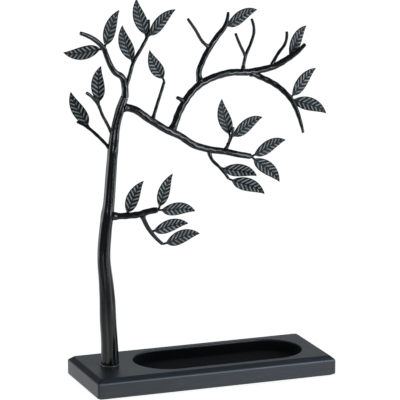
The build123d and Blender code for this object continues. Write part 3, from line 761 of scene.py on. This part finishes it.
def leaf_enamel():
    """The same black enamel, duller, with a soft grey painted on the raised panels as a highlight.
    The piece's own attribute says where the panels are, and a cloud about 4 mm across varies the
    grey."""
    material = new_material("black_enamel_cast_leaf_panel_highlight")
    place = node(material, "ShaderNodeTexCoord").outputs["Object"]
    panel = node(material, "ShaderNodeAttribute", {"attribute_name": "panel"}).outputs["Fac"]
    cloud = node(material, "ShaderNodeTexNoise", {"Scale": per_metre(4), "Detail": 3.0},
                 {"Vector": place})
    # Painted highlight: the grey that the raised panels get stands for the light they catch
    panel_highlight = node(material, "ShaderNodeMath", {"operation": "MULTIPLY"},
                {0: panel, 1: cloud.outputs["Fac"]})
    colour = node(material, "ShaderNodeValToRGB", links={"Fac": panel_highlight.outputs["Value"]},
                  stops=[(0, linear("#050506")), (0.72, linear("#a4adaf"))])
    shader = node(material, "ShaderNodeBsdfPrincipled",
                  {"IOR": 1.5, "Roughness": 0.44, "Specular IOR Level": 0.2},
                  {"Base Color": colour.outputs["Color"]})
    node(material, "ShaderNodeOutputMaterial", links={"Surface": shader.outputs["BSDF"]})
    return material


LEAF_ENAMEL = leaf_enamel()
for order, (name, carrier, point, heading, lean, roll) in enumerate(LEAVES):
    bend, twist = np.random.default_rng(100 + order).uniform(
        (-BEND_RANGE, -TWIST_RANGE), (BEND_RANGE, TWIST_RANGE))
    rows, panel = leaf_shell(bend, twist)
    root = mm(BOUGH_LINES[carrier][point][:3]) + TREE_ORIGIN
    leaf = closed_shell(name + "_casting", root + rows @ leaf_axes(heading, lean, roll))
    shade = leaf.data.attributes.new("panel", "FLOAT", "POINT")
    shade.data.foreach_set("value", panel.ravel())
    finish_piece(leaf, LEAF_ENAMEL, "leaf_enamel", name)


# --- Studio ---------------------------------------------------------------------------------
# A wide pale floor that is lit white behind and under the object and dimmer in front of it,
# four soft boxes, and the photograph's own viewpoint: a long lens far in front, a little to
# the left and above.

bpy.context.scene.view_settings.view_transform = "Standard"

FLOOR_HALF = 6.0
FADE_AXIS = (0.352, 0.936, 0)            # level direction from the front to the backdrop
FADE_START, FADE_END = -0.38, -0.09      # metres along it
FRONT_GLOW, BACK_GLOW = 0.02, 0.88

floor_mesh = bpy.data.meshes.new("studio_floor")
floor_mesh.from_pydata([(-FLOOR_HALF, -FLOOR_HALF, 0), (FLOOR_HALF, -FLOOR_HALF, 0),
                        (FLOOR_HALF, FLOOR_HALF, 0), (-FLOOR_HALF, FLOOR_HALF, 0)], [],
                       [(0, 1, 2, 3)])
floor = bpy.data.objects.new("studio_floor", floor_mesh)
bpy.context.scene.collection.objects.link(floor)


def white_floor():
    """White painted floor. Its glow stands for the background lamps, and fades in front
    of the object."""
    material = new_material("white_painted_floor")
    place = node(material, "ShaderNodeTexCoord").outputs["Object"]
    depth = node(material, "ShaderNodeVectorMath", {"operation": "DOT_PRODUCT", 1: FADE_AXIS},
                 {0: place})
    glow = node(material, "ShaderNodeMapRange",
                {"From Min": FADE_START, "From Max": FADE_END,
                 "To Min": FRONT_GLOW, "To Max": BACK_GLOW}, {"Value": depth.outputs["Value"]})
    shader = node(material, "ShaderNodeBsdfPrincipled",
                  {"Base Color": linear("#f0f0f0"), "Roughness": 0.9,
                   "Emission Color": linear("#ffffff")},
                  {"Emission Strength": glow.outputs["Result"]})
    node(material, "ShaderNodeOutputMaterial", links={"Surface": shader.outputs["BSDF"]})
    return material


floor_mesh.materials.append(white_floor())

world = bpy.data.worlds.new("studio_room")
bpy.context.scene.world = world
world.use_nodes = True
room = world.node_tree.nodes["Background"]
room.inputs["Color"].default_value = linear("#eef5fa")
room.inputs["Strength"].default_value = 0.2

BOX_TARGET = (0, 0, 0.12)


def soft_box(name, place, width, height, power, colour, *shaded):
    """A rectangular area light that faces the tree's lower middle. Light linking stands for a
    screen that keeps it off the floor, which stays even, and off the shaded pieces."""
    light = bpy.data.lights.new(name, "AREA")
    light.shape, light.size, light.size_y = "RECTANGLE", width, height
    light.energy, light.color = power, linear(colour)[:3]
    lamp = bpy.data.objects.new(name, light)
    lamp.location = place
    away = np.array(place) - np.array(BOX_TARGET)
    flat = math.hypot(away[0], away[1])
    lamp.rotation_euler = (math.atan2(flat, away[2]), 0, math.atan2(away[0], -away[1]))
    lamp.visible_camera = False
    screen = bpy.data.collections.new(name + "_screen")
    for piece in (floor, *shaded):
        screen.objects.link(piece)
    for held in screen.collection_objects:
        held.light_linking.link_state = "EXCLUDE"
    lamp.light_linking.receiver_collection = screen
    bpy.context.scene.collection.objects.link(lamp)


# Places and sizes in metres, and power in watts
soft_box("left_box", (-0.48, 0.10, 0.21), 0.34, 0.42, 1.7, "#eef8f6", board)
soft_box("back_box", (0.30, 0.80, 0.36), 0.9, 0.3, 0.6, "#e6f1f8")
soft_box("right_box", (0.70, -0.55, 0.38), 0.7, 0.75, 4, "#deebf8")
soft_box("front_box", (0.36, -0.80, 0.17), 0.26, 0.32, 3.4, "#e6f1f8")

CAMERA_PLACE = (-0.73803, -1.95774, 0.61542)
CAMERA_AZIMUTH, CAMERA_ELEVATION = math.radians(-20.62), math.radians(12.72)
camera_data = bpy.data.cameras.new("long_lens")
camera_data.lens, camera_data.sensor_width = 245.2, 36
camera_data.clip_end = 50
camera = bpy.data.objects.new("long_lens", camera_data)
camera.location = CAMERA_PLACE
camera.rotation_euler = (math.pi / 2 - CAMERA_ELEVATION, 0, CAMERA_AZIMUTH)
bpy.context.scene.collection.objects.link(camera)
bpy.context.scene.camera = camera
